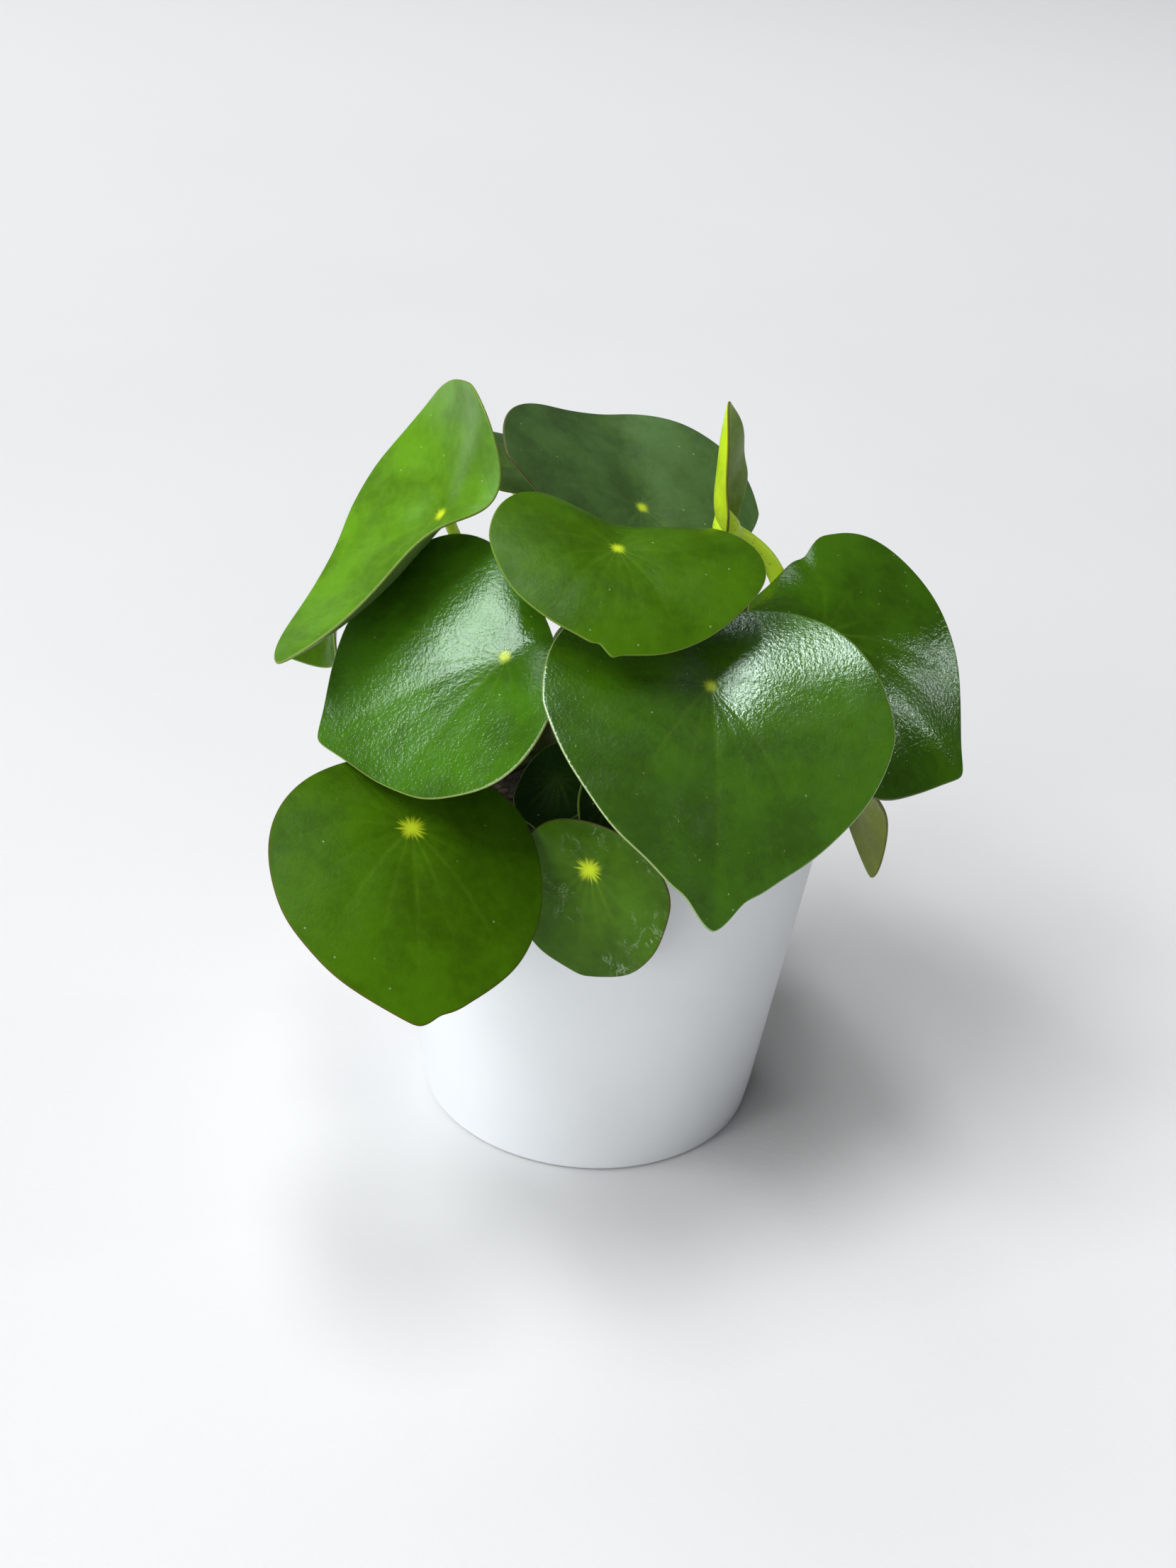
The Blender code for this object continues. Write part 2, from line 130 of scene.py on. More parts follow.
def leaf(at, heading, pitch, roll, front, back, left, right, stem, up, **more):
    """One leaf, in millimetres and degrees.

    at is the navel; heading turns the tip from +X towards +Y, pitch lowers the
    tip and roll lowers the left half. front and back are the blade's lengths
    ahead of and behind the navel, left and right its half widths. stem and up
    say where its stalk leaves. bow and droop curve the blade down ahead and
    behind, cup_left and cup_right curve its halves, in degrees per centimetre.
    fold opens the halves into a V, and wave lifts the margin in slow waves.
    lobes swells the outline in three, four and five waves, in percent. dents
    are small bumps of the margin: where in degrees from the tip, how wide in
    degrees, and how far out. nearer brings the left half's margin towards the
    viewer. reach, rise, out and side bend the stalk: how straight it meets the
    blade, how steeply it leaves the stem, and two shifts on the way. stalk is
    its radius at the blade, and basal joins it to the blade's base. fine asks
    for the closer grid.
    green, under and rim are its colours, shine is how rough and gloss how
    strong its reflections are, pebble is how deep its skin's fine unevenness is
    in metres, and rays is how far the navel's pale rays reach.
    """
    spec = dict(
        at=Vector(at), heading=heading, pitch=pitch, roll=roll,
        front=front, back=back, left=left, right=right, stem=stem, up=up,
        widest=4, point=1.8, drip=2, bow=3, droop=6, cup_left=3, cup_right=3,
        fold=0, wave=(0, 0, 0, 0), lobes=(0, 0, 0, 0, 0, 0), dents=(), nearer=0,
        reach=14, rise=0.35, out=(0, 0, 0), side=(0, 0, 0), stalk=1.4, basal=False,
        slot="leaf", fine=False, green=(0.042, 0.115, 0.002),
        under=(0.12, 0.2, 0.05), rim=(0.16, 0.24, 0.03), navel=(0.5, 0.62, 0.02),
        shine=0.24, gloss=0.25, ior=1.5, pebble=0.00009, rays=3.0, dust=0.0,
    )
    spec.update(more)
    return spec


CREAM = (0.28, 0.34, 0.09)
RUSSET = (0.1, 0.07, 0.012)
# A navel painted nearly black: painted shade for leaves deep in the plant.
PAINTED_SHADE_NAVEL = (0.02, 0.045, 0.006)
VEIN_GREEN = (0.2, 0.34, 0.03)
SPECK = (0.5, 0.55, 0.35)
SCAR = (0.42, 0.5, 0.36)
LEAF_SHEEN = (0.8, 1.0, 0.88, 1.0)

LEAVES = {
    "leaf_front_right": leaf(
        (21, -52, 145), -82, 35, 12, 58, 23, 43, 41, "stem_right", 30,
        widest=9, point=1.4, drip=6, bow=4, droop=10, cup_left=2, cup_right=2, fold=5,
        wave=(-1, -3.5, 1.5, -1), lobes=(-1.5, 0.5, -2, -1.5, 0.5, 0.5), fine=True,
        dents=((10, 5, -1.0), (-10, 5, -1.0)), nearer=5,
        green=(0.038, 0.11, 0.001), rim=CREAM, shine=0.2, gloss=1.0, ior=1.8,
        pebble=0.00016),
    "leaf_front_left": leaf(
        (-26, -51, 148), -176, 26, 32, 48, 12, 32, 35, "stem_left", 30,
        widest=9, drip=5, bow=2, droop=8, cup_right=2, fold=7, wave=(-1.5, -1.5, 0.5, 0),
        lobes=(0, 0, 0, -1, 0, 0), fine=True, green=(0.04, 0.125, 0.003), rim=CREAM,
        shine=0.18, gloss=0.8, pebble=0.00017),
    "leaf_lower_left": leaf(
        (-43, -69, 113), -79, 29, 10, 47, 20, 31, 32, "stem_left", 16,
        widest=7, point=2, drip=4, droop=8, cup_left=4, fold=-1,
        lobes=(0, 0.5, -0.5, 0, 0.5, -0.5), reach=14, rise=0.2, fine=True,
        slot="leaf_dark", green=(0.042, 0.11, 0.002), rim=RUSSET, shine=0.3, gloss=0.06,
        rays=5.5, dents=((7, 3, -0.4), (14, 4, 0.2))),
    "leaf_lower_small": leaf(
        (-4, -64, 101), -113, 86, -3, 29, 12, 21, 18, "stem_right", 8,
        point=2.1, drip=1, droop=7, wave=(-0.5, -0.5, -0.5, -0.5),
        lobes=(0, -1, -0.5, 0.5, -0.5, 1), reach=8, rise=0.05, side=(-8, 0, 0),
        slot="leaf_dark", green=(0.042, 0.105, 0.003), rim=RUSSET, dust=1.0, shine=0.3,
        gloss=0.12, rays=5.5),
    "leaf_top_middle": leaf(
        (-2, -41, 172), -86, 16, 9, 30, 19, 35, 30, "stem_right", 35,
        widest=2, point=1.6, drip=1, bow=10, droop=13, cup_left=6, cup_right=7, fold=4,
        wave=(-3, 0.5, 1.5, -1), lobes=(0, 0.5, -1.5, 1, -0.5, 0.5), fine=True,
        green=(0.044, 0.114, 0.002), shine=0.35, gloss=0.15,
        dents=((-7, 3, -0.8), (0, 2.5, 0.6))),
    "leaf_top_back": leaf(
        (4, 23, 157), -73, 27, 18, 32, 33, 34, 41, "stem_rear", 36,
        widest=-3, point=1.3, drip=3, bow=1, droop=1, cup_left=2, fold=10,
        wave=(-1, 0, 1, 2), lobes=(0, 0.5, 1, 0, -1, 1), fine=True, slot="leaf_dull",
        green=(0.056, 0.115, 0.027), rim=RUSSET, shine=0.4, gloss=0.5),
    "leaf_tall_left": leaf(
        (-44, -25, 170), -134, 49, -17, 51, 31, 15, 30, "stem_left", 33,
        widest=-5, point=1.7, drip=1, bow=-6, droop=-8, cup_right=4, fold=17,
        wave=(3, 1.5, -2, 2), lobes=(0, 1.5, -0.5, 0.5, 1, -1), side=(-6, 2, -4),
        fine=True, slot="leaf_bright", green=(0.085, 0.215, 0.006), gloss=0.35,
        shine=0.35),
    "leaf_right": leaf(
        (50, -14, 143), -9, 36, -18, 51, 20, 41, 40, "stem_right", 32,
        point=1.7, drip=6, bow=1, droop=10, cup_left=4, cup_right=4, fold=-1,
        wave=(-5, 3.5, 0, -0.5), lobes=(-1, -1, 0.5, 0.5, -1.5, -0.5), fine=True,
        green=(0.036, 0.105, 0.002), rim=RUSSET, shine=0.11, gloss=0.5, pebble=0.00011,
        dents=((129, 5, -1.8), (118, 4, 0.8))),
    # Its underside colour is partly a young leaf's own lime and partly painted light,
    # brightened to stand in for the window light on it.
    "leaf_upright_young": leaf(
        (23, 5, 164), 173, -77, -1, 27, 5, 11, 16, "stem_right", 30,
        point=1.5, bow=-5, droop=-4, cup_left=-6, cup_right=-6, fold=26,
        wave=(2, 0, 0, -0.5), basal=True, reach=5, out=(40, 18, 10), side=(1, 5, 5),
        stalk=2.5, slot="leaf_pale", green=(0.2, 0.33, 0.035),
        under=(0.6, 0.86, 0.02), rim=RUSSET, gloss=0.06),
    "leaf_left_hanging": leaf(
        (-70, 4, 136), -160, 58, -4, 21, 13, 16, 19, "stem_left", 24,
        widest=6, drip=1, fold=3, wave=(0.5, -2.5, 2, -1.5), lobes=(0.5, 1, 0, 0, 0, 0),
        slot="leaf_dull", green=(0.035, 0.088, 0.001)),
    "leaf_back_left": leaf(
        (-31, 36, 161), 143, -3, -5, 30, 15, 22, 22, "stem_rear", 32,
        fold=3, wave=(-0.5, 0.5, 0, -1), lobes=(-0.5, -0.5, 0, 0, 0, 0), side=(10, 0, 0),
        slot="leaf_dull", green=(0.05, 0.1, 0.02), navel=(0.06, 0.12, 0.02)),
    "leaf_right_hanging": leaf(
        (59, -12, 107), 27, 67, 1, 37, 11, 10, 13, "stem_right", 16,
        point=1.5, bow=2, fold=-1, wave=(0, -1, -0.5, 0), lobes=(0.5, 1, 0, 0.5, 0, 0.5),
        reach=5, rise=0.15, slot="leaf_pale", under=(0.19, 0.23, 0.02), rim=RUSSET),
    # Deep in the plant: its green and navel are painted nearly black as painted shade.
    "leaf_inner_left": leaf(
        (-13, -38, 111), -101, 38, -18, 15, 10, 10, 10, "stem_left", 10,
        widest=5, fold=-1, reach=8, slot="leaf_dark", green=(0.006, 0.022, 0.002),
        navel=PAINTED_SHADE_NAVEL),
    # Deep in the plant: its green and navel are painted nearly black as painted shade.
    "leaf_inner_right": leaf(
        (1, -49, 112), -67, 57, 16, 15, 9, 13, 10, "stem_right", 8,
        widest=5, fold=4, reach=8, side=(6, 0, -2), slot="leaf_dark",
        green=(0.006, 0.022, 0.002), navel=PAINTED_SHADE_NAVEL),
    "leaf_rear_left": leaf(
        (-30, 43, 116), 128, 36, 0, 36, 14, 23, 23, "stem_rear", 22,
        fold=4, wave=(-1, 0, 1, 0)),
    "leaf_rear_right": leaf(
        (34, 41, 122), 50, 38, 0, 38, 15, 25, 25, "stem_rear", 26,
        fold=4, wave=(-1, 1, 0, 0)),
    "leaf_rear_low": leaf(
        (2, 60, 103), 92, 60, 0, 31, 13, 20, 20, "stem_rear", 12,
        fold=3, reach=8),
}


class Look:
    """A material under construction, with short names for the nodes it uses."""

    def __init__(self, name, **values):
        self.material = bpy.data.materials.new(name)
        self.material.use_nodes = True
        self.tree = self.material.node_tree
        self.shader = self.tree.nodes["Principled BSDF"]
        for key, value in values.items():
            self.shader.inputs[key.replace("_", " ")].default_value = value

    def node(self, kind, **settings):
        made = self.tree.nodes.new("ShaderNode" + kind)
        for key, value in settings.items():
            setattr(made, key, value)
        return made

    def feed(self, socket, value):
        if isinstance(value, bpy.types.NodeSocket):
            self.tree.links.new(value, socket)
        elif socket.type == "RGBA":
            socket.default_value = (*value, 1.0)
        else:
            socket.default_value = value

    def place(self):
        return self.node("TexCoord").outputs["Object"]

    def coordinate(self, place, axis):
        made = self.node("SeparateXYZ")
        self.feed(made.inputs[0], place)
        return made.outputs[axis]

    def attribute(self, name, vector=False):
        made = self.node("Attribute", attribute_name=name)
        return made.outputs["Vector" if vector else "Fac"]

    def noise(self, where, scale, detail=3.0, roughness=0.5, distortion=0.0):
        made = self.node("TexNoise")
        self.feed(made.inputs["Vector"], where)
        for key, value in (("Scale", scale), ("Detail", detail),
                           ("Roughness", roughness), ("Distortion", distortion)):
            made.inputs[key].default_value = value
        return made.outputs["Fac"]

    def cells(self, where, scale, feature="F1"):
        made = self.node("TexVoronoi", feature=feature)
        self.feed(made.inputs["Vector"], where)
        made.inputs["Scale"].default_value = scale
        return made.outputs["Distance"]

    def ramp(self, value, low, high, start=0.0, end=1.0):
        """value from low to high, smoothly turned into start to end."""
        made = self.node("MapRange", interpolation_type="SMOOTHSTEP")
        for key, number in zip(
                ("Value", "From Min", "From Max", "To Min", "To Max"),
                (value, low, high, start, end)):
            self.feed(made.inputs[key], number)
        return made.outputs["Result"]

    def math(self, operation, first, second=0.0):
        made = self.node("Math", operation=operation)
        self.feed(made.inputs[0], first)
        self.feed(made.inputs[1], second)
        return made.outputs[0]

    def mix(self, share, first, second, blend="MIX"):
        made = self.node("Mix", data_type="RGBA", blend_type=blend)
        self.feed(made.inputs["Factor"], share)
        colours = [socket for socket in made.inputs if socket.type == "RGBA"]
        self.feed(colours[0], first)
        self.feed(colours[1], second)
        return [socket for socket in made.outputs if socket.type == "RGBA"][0]

    def bump(self, height, distance, strength=1.0, over=None):
        made = self.node("Bump")
        made.inputs["Distance"].default_value = distance
        made.inputs["Strength"].default_value = strength
        self.feed(made.inputs["Height"], height)
        if over is not None:
            self.feed(made.inputs["Normal"], over)
        return made.outputs["Normal"]

    def finish(self, **sockets):
        for key, value in sockets.items():
            self.feed(self.shader.inputs[key.replace("_", " ")], value)
        return self.material


def tinted(colour, factor):
    return tuple(min(1.0, part * factor) for part in colour)


def grey(value):
    return value, value, value


def upper_colour(look, spec, place, mottle, ray):
    """Mottled green with pale veins, a rayed navel, specks and thin scars."""
    green, navel = spec["green"], spec["navel"]
    colour = look.mix(
        look.ramp(mottle, 0.35, 0.65), tinted(green, 0.78), tinted(green, 1.25))
    fine = look.noise(place, 420, 3, 0.6)
    colour = look.mix(look.ramp(fine, 0.3, 0.8, 0.0, 0.25), colour, tinted(green, 1.7))
    streak = look.noise(ray, 3.2, 3, 0.6)
    vein = look.math("MULTIPLY", look.attribute("vein"), look.ramp(streak, 0.2, 0.7))
    colour = look.mix(look.math("MULTIPLY", vein, 0.22), colour, VEIN_GREEN)
    out = look.attribute("navel_mm")
    star = look.math("SUBTRACT", out, look.math("MULTIPLY", streak, spec["rays"]))
    colour = look.mix(look.ramp(star, 0.9, -1.6, 0.0, 0.95), colour, navel)
    colour = look.mix(look.ramp(out, 1.8, 0.3, 0.0, 0.5), colour, tinted(navel, 1.25))
    speck = look.cells(place, 210)
    colour = look.mix(look.ramp(speck, 0.06, 0.03, 0.0, 0.45), colour, SPECK)
    contour = look.math("SUBTRACT", look.noise(place, 150, 4, 0.7, 1.5), 0.5)
    crease = look.ramp(look.math("ABSOLUTE", contour), 0.022, 0.006)
    patchy = look.noise(place, 75, 3, 0.6)
    patchy = look.ramp(patchy, 0.52, 0.7, 0.0, 0.5 * spec["dust"])
    return look.mix(look.math("MULTIPLY", crease, patchy), colour, SCAR)


def under_colour(look, spec, mottle):
    """The paler underside, with its veins."""
    under = spec["under"]
    colour = look.mix(
        look.ramp(mottle, 0.3, 0.7), tinted(under, 0.8), tinted(under, 1.15))
    vein = look.math("MULTIPLY", look.attribute("vein"), 0.5)
    return look.mix(vein, colour, tinted(under, 1.7))


def leaf_look(name, spec):
    """A waxy blade with two different faces, a tinted rim and a pebbled skin."""
    look = Look(
        name, IOR=spec["ior"], Specular_IOR_Level=spec["gloss"],
        Specular_Tint=LEAF_SHEEN, Subsurface_Weight=0.1, Subsurface_Scale=0.0012,
        Subsurface_Radius=(0.5, 1.0, 0.15))
    place = look.place()
    ray = look.attribute("ray", vector=True)
    mottle = look.noise(place, 55, 4, 0.6)
    colour = look.mix(
        look.attribute("under"), upper_colour(look, spec, place, mottle, ray),
        under_colour(look, spec, mottle))
    edge = look.ramp(look.attribute("edge_mm"), 0.4, 0.1, 0.0, 0.85)
    colour = look.mix(edge, colour, spec["rim"])
    rough = look.ramp(look.noise(place, 160, 3, 0.6), 0.3, 0.7,
                      0.8 * spec["shine"], 1.25 * spec["shine"])
    pebbles = look.bump(look.noise(place, 1050, 3, 0.6), spec["pebble"], 0.9)
    wrinkle = look.bump(look.noise(ray, 4.0, 3, 0.6), 0.0002, 0.2, pebbles)
    return look.finish(Base_Color=colour, Roughness=rough, Normal=wrinkle)


def stem_look():
    """Stalks, lime green at the top of the plant and darkened near the mix by painted
    shade.
    """
    look = Look(
        "stem_skin", Subsurface_Weight=0.2, Subsurface_Scale=0.0015,
        Subsurface_Radius=(0.7, 1.0, 0.2), Coat_Weight=0.15, Coat_Roughness=0.3)
    place = look.place()
    height = look.coordinate(place, "Z")
    streak = look.noise(place, 240, 4, 0.6)
    colour = look.mix(look.ramp(streak, 0.3, 0.7), (0.26, 0.4, 0.02), (0.4, 0.54, 0.04))
    high = look.ramp(height, 0.13, 0.148, 0.0, 0.95)
    colour = look.mix(high, colour, (0.68, 0.98, 0.03))
    # Painted shade: the stalks are darkened towards the mix, under the leaves.
    low = look.ramp(height, 0.135, 0.112, 0.0, 0.9)
    colour = look.mix(low, colour, (0.05, 0.055, 0.014))
    dots = look.cells(place, 700)
    colour = look.mix(look.ramp(dots, 0.35, 0.15, 0.0, 0.3), colour, (0.14, 0.16, 0.03))
    bump = look.bump(look.noise(place, 700, 3, 0.6), 0.00008, 0.6)
    return look.finish(Base_Color=colour, Roughness=0.42, Normal=bump)


def soil_look():
    """Moist potting mix: dark crumbs with paler fibres."""
    look = Look("potting_mix")
    place = look.place()
    grain = look.noise(place, 700, 6, 0.75)
    patch = look.noise(place, 130, 4, 0.6)
    colour = look.mix(
        look.ramp(grain, 0.35, 0.7), (0.008, 0.006, 0.004), (0.036, 0.024, 0.015))
    colour = look.mix(look.ramp(patch, 0.5, 0.75, 0.0, 0.6), colour, (0.05, 0.034, 0.02))
    fibre = look.cells(place, 900, "DISTANCE_TO_EDGE")
    height = look.math("ADD", grain, look.ramp(fibre, 0.0, 0.2))
    return look.finish(
        Base_Color=colour, Roughness=look.ramp(grain, 0.3, 0.7, 0.7, 0.98),
        Normal=look.bump(height, 0.0006, 0.9))


def bark_look():
    """Dull brown crumbs."""
    look = Look("bark_crumb")
    place = look.place()
    grain = look.noise(place, 480, 5, 0.7, 0.4)
    colour = look.mix(
        look.ramp(grain, 0.3, 0.7), (0.014, 0.009, 0.006), (0.07, 0.042, 0.024))
    return look.finish(
        Base_Color=colour, Roughness=0.85, Normal=look.bump(grain, 0.0004, 0.8))


def pot_look():
    """A satin white glaze with very faint unevenness."""
    look = Look(
        "white_glaze", Coat_Weight=0.25, Coat_Roughness=0.3, Specular_IOR_Level=0.45)
    place = look.place()
    cloud = look.noise(place, 22, 3, 0.5)
    colour = look.mix(
        look.ramp(cloud, 0.3, 0.7), (0.79, 0.815, 0.84), (0.83, 0.85, 0.87))
    pit = look.cells(place, 260)
    colour = look.mix(look.ramp(pit, 0.05, 0.02, 0.0, 0.25), colour, (0.5, 0.5, 0.48))
    rough = look.ramp(look.noise(place, 60, 3, 0.6), 0.3, 0.7, 0.36, 0.46)
    soft = look.bump(look.noise(place, 160, 2, 0.5), 0.00025, 0.35)
    fine = look.bump(look.noise(place, 1500, 2, 0.5), 0.00003, 0.4, soft)
    return look.finish(Base_Color=colour, Roughness=rough, Normal=fine)


def floor_look():
    """A matt, almost white floor, with painted light that makes it a little paler far
    behind the plant.
    """
    look = Look("pale_floor", Roughness=0.55, Specular_IOR_Level=0.3)
    place = look.place()
    cloud = look.noise(place, 3.0, 3, 0.5)
    colour = look.mix(look.ramp(cloud, 0.3, 0.7), grey(0.74), grey(0.765))
    # Painted light: the floor's colour grows paler far behind the plant.
    behind = look.ramp(look.coordinate(place, "Y"), 0.3, 1.7)
    colour = look.mix(behind, colour, grey(0.87))
    bump = look.bump(look.noise(place, 400, 3, 0.6), 0.0002, 0.3)
    return look.finish(Base_Color=colour, Normal=bump)


def add_piece(name, mesh, look, nodes, smooth=True):
    """Puts a mesh in the scene as a piece that stands for CAD nodes."""
    piece = bpy.data.objects.new(name, mesh)
    bpy.context.scene.collection.objects.link(piece)
    mesh.materials.append(look)
    if smooth:
        mesh.shade_smooth()
    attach(piece, "root")
    if nodes:
        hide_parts(*nodes)
    return piece


def mesh_of(name, points, faces):
    """A mesh from points in millimetres."""
    mesh = bpy.data.meshes.new(name)
    mesh.from_pydata((np.asarray(points) * MM).tolist(), [], faces)
    mesh.update()
    return mesh


def ring_faces(rows, around):
    """Faces of rows of points round a middle, followed by a pole at either end."""
    faces = []
    for row in range(rows - 1):
        a, b = row * around, (row + 1) * around
        faces += [(a + i, b + i, b + (i + 1) % around, a + (i + 1) % around)
                  for i in range(around)]
    start, end, last = rows * around, rows * around + 1, (rows - 1) * around
    faces += [(start, i, (i + 1) % around) for i in range(around)]
    faces += [(end, last + (i + 1) % around, last + i) for i in range(around)]
    return faces


def margin(spec, turn):
    """How far the flat blade's margin reaches at angles from the tip."""
    along, across = np.cos(turn), np.sin(turn)
    ahead = along > 0
    length = np.where(
        ahead, spec["front"] - spec["widest"] - spec["drip"],
        spec["back"] + spec["widest"])
    power = np.where(ahead, spec["point"], BASE_ROUNDNESS)
    half = np.where(across > 0, spec["left"], spec["right"])
    spread = (np.abs(along) / length) ** power + (np.abs(across) / half) ** power
    reach = spread ** (-1 / power)
    swell = 1.0
    for i, order in enumerate((3, 4, 5)):
        cosine, sine = spec["lobes"][2 * i:2 * i + 2]
        wave = cosine * np.cos(order * turn) + sine * np.sin(order * turn)
        swell = swell + 0.01 * wave
    tip = np.hypot((turn + np.pi) % (2 * np.pi) - np.pi, TIP_ROUND) - TIP_ROUND
    reach = swell * reach + spec["drip"] * np.exp(-tip / TIP_WIDTH)
    for place, width, out in spec["dents"]:
        away = (turn - math.radians(place) + np.pi) % (2 * np.pi) - np.pi
        reach = reach + out * np.exp(-((away / math.radians(width)) ** 2))
    return reach


def bent(length, curvature):
    """Where a length lies once bent to an arc: how far along, how far up."""
    curvature = np.where(np.abs(curvature) < 1e-6, 1e-6, curvature)
    angle = curvature * length
    return np.sin(angle) / curvature, (np.cos(angle) - 1) / curvature


def blade_surface(spec, x, y, share, turn, lift):
    """The upper face over flat points, in the leaf's own frame."""
    per_cm = math.radians(1) / 10
    across, rise = bent(y, per_cm * np.where(y > 0, spec["cup_left"], spec["cup_right"]))
    fold = math.tan(math.radians(spec["fold"]))
    rise = rise + fold * (np.hypot(across, FOLD_WIDTH) - FOLD_WIDTH) + lift
    rise -= NAVEL_DEPTH * np.exp(-(x * x + y * y) / (2 * NAVEL_WIDTH**2))
    wave = spec["wave"]
    rise += share**2 * (
        wave[0] * np.cos(2 * turn) + wave[1] * np.sin(2 * turn)
        + wave[2] * np.cos(3 * turn) + wave[3] * np.sin(3 * turn))
    curvature = per_cm * np.where(x > 0, spec["bow"], spec["droop"])
    along, drop = bent(np.abs(x), curvature)
    angle = curvature * np.abs(x)
    along = along + rise * np.sin(angle)
    return np.stack([np.copysign(along, x), across, drop + rise * np.cos(angle)], -1)


def harmonics(seed, turn, orders, shift=0.0):
    """A random smooth wave round the leaf, about 1 high."""
    rng = np.random.default_rng(seed)
    total = 0.0
    for order in orders:
        total = total + rng.uniform(0.5, 1) * np.cos(
            order * turn + rng.uniform(0, 2 * np.pi) + shift * rng.uniform(-1, 1))
    return total / math.sqrt(len(orders))


def vein_field(x, y, share, width):
    """How strongly each point lies on a vein; veins sweep towards the tip."""
    out, around = np.hypot(x, y), np.arctan2(y, x)
    total = np.zeros_like(out)
    for angle, strength in VEINS:
        path = math.radians(angle) * (1 - VEIN_SWEEP * share)
        off = (around - path + np.pi) % (2 * np.pi) - np.pi
        total = np.maximum(total, strength * np.exp(-((out * off / width) ** 2)))
    return total


def relief(spec, seed, x, y, share, turn):
    """Sunken veins, swellings between them and fine wrinkles near the navel."""
    out = np.hypot(x, y)
    near = np.clip(out / 5, 0, 1)
    inside = (1 - share**4) * near
    size = spec["left"] / 40
    veins = vein_field(x, y, share, VEIN_WIDTH * (0.8 + 0.7 * share))
    broad = vein_field(x, y, share, 3.2 * VEIN_WIDTH)
    wrinkles = harmonics(seed, turn, range(17, 44, 3), 6 * share) * np.exp(-2.2 * share)
    swell = harmonics(seed + 1, turn, range(2, 9), 5 * share) * share
    return size**0.5 * (
        -VEIN_DEPTH * (veins + broad) * inside
        + WRINKLE_HEIGHT * wrinkles * near + SWELL_HEIGHT * swell)


def ring_shares(size, count):
    """Rings from the navel to the margin, closer together at both ends."""
    rim = [1 - u / size for u in (1.3, 0.8, EDGE_ROUND, 0.3, 0.18, 0.09, 0.03)]
    inner = (np.linspace(0, 1, count + 1)[1:] ** 1.2) * (1 - 2.2 / size)
    return np.array([*inner, *rim, 1.0])


def normals_of(points):
    """Unit normals of a grid of points, rows outwards and columns round."""
    out = np.gradient(points, axis=0)
    around = np.roll(points, -1, 1) - np.roll(points, 1, 1)
    normal = np.cross(out, around)
    length = np.linalg.norm(normal, axis=-1, keepdims=True)
    return normal / np.maximum(length, 1e-12)


def leaf_frame(spec):
    """The turn and the place of a leaf, as arrays."""
    turn = (
        Matrix.Rotation(math.radians(spec["heading"]), 3, "Z")
        @ Matrix.Rotation(math.radians(spec["pitch"]), 3, "Y")
        @ Matrix.Rotation(math.radians(-spec["roll"]), 3, "X"))
    return np.array(turn), np.array(spec["at"])


def blade_grid(spec, seed, around, rings):
    """Flat places, the upper face and its facts on a grid of rings and spokes."""
    angle = np.linspace(0, 2 * np.pi, around, endpoint=False)
    turn = (angle - SPOKE_BUNCHING * np.sin(angle))[None]
    reach = margin(spec, turn)
    reach = reach * (1 + MARGIN_WOBBLE * harmonics(seed, turn, range(5, 15)))
    size = (spec["front"] + spec["back"] + spec["left"] + spec["right"]) / 4
    share = ring_shares(size, rings)[:, None]
    edge_x = spec["widest"] + reach * np.cos(turn)
    edge_y = reach * np.sin(turn)
    x, y = share * edge_x, share * edge_y
    grid = dict(x=x, y=y, share=share + 0 * turn, turn=turn + 0 * share)
    lift = relief(spec, seed, x, y, grid["share"], np.arctan2(y, x))
    grid["upper"] = blade_surface(spec, x, y, grid["share"], grid["turn"], lift)
    grid["edge"] = (1 - grid["share"]) * np.hypot(edge_x, edge_y)
    return grid


def make_blade(name, spec, seed):
    """A blade of two faces that meet in a thin rounded margin."""
    around, rings = FINE_GRID if spec["fine"] else COARSE_GRID
    grid = blade_grid(spec, seed, around, rings)
    normal = normals_of(grid["upper"])
    rounding = 1 - np.clip(grid["edge"] / EDGE_ROUND, 0, 1)
    half = (BLADE / 2) * (1 - THINNING * grid["share"] ** 2) * np.sqrt(
        np.clip(1 - rounding**2, 0, 1))
    middle = grid["upper"] - BLADE / 2 * normal
    top, bottom = middle + half[..., None] * normal, middle - half[..., None] * normal
    rows = np.concatenate([top, bottom[-2::-1]])
    centre = middle[0].mean(0)
    up = normal[0].mean(0)
    up /= np.linalg.norm(up)
    poles = np.array([centre + up * BLADE / 2, centre - up * BLADE / 2])
    turn, at = leaf_frame(spec)
    points = np.concatenate([rows.reshape(-1, 3), poles])
    nearer = spec["nearer"] * np.clip(points[:, 1:2] / spec["left"], 0, 1)
    points = points @ turn.T + at + nearer * np.array(VIEW_BACK)
    mesh = mesh_of(name, points, ring_faces(len(rows), around))
    add_facts(mesh, grid, len(rows), around)
    look = leaf_look(name + "_green", spec)
    add_piece(name + "_fine", mesh, look, [name])


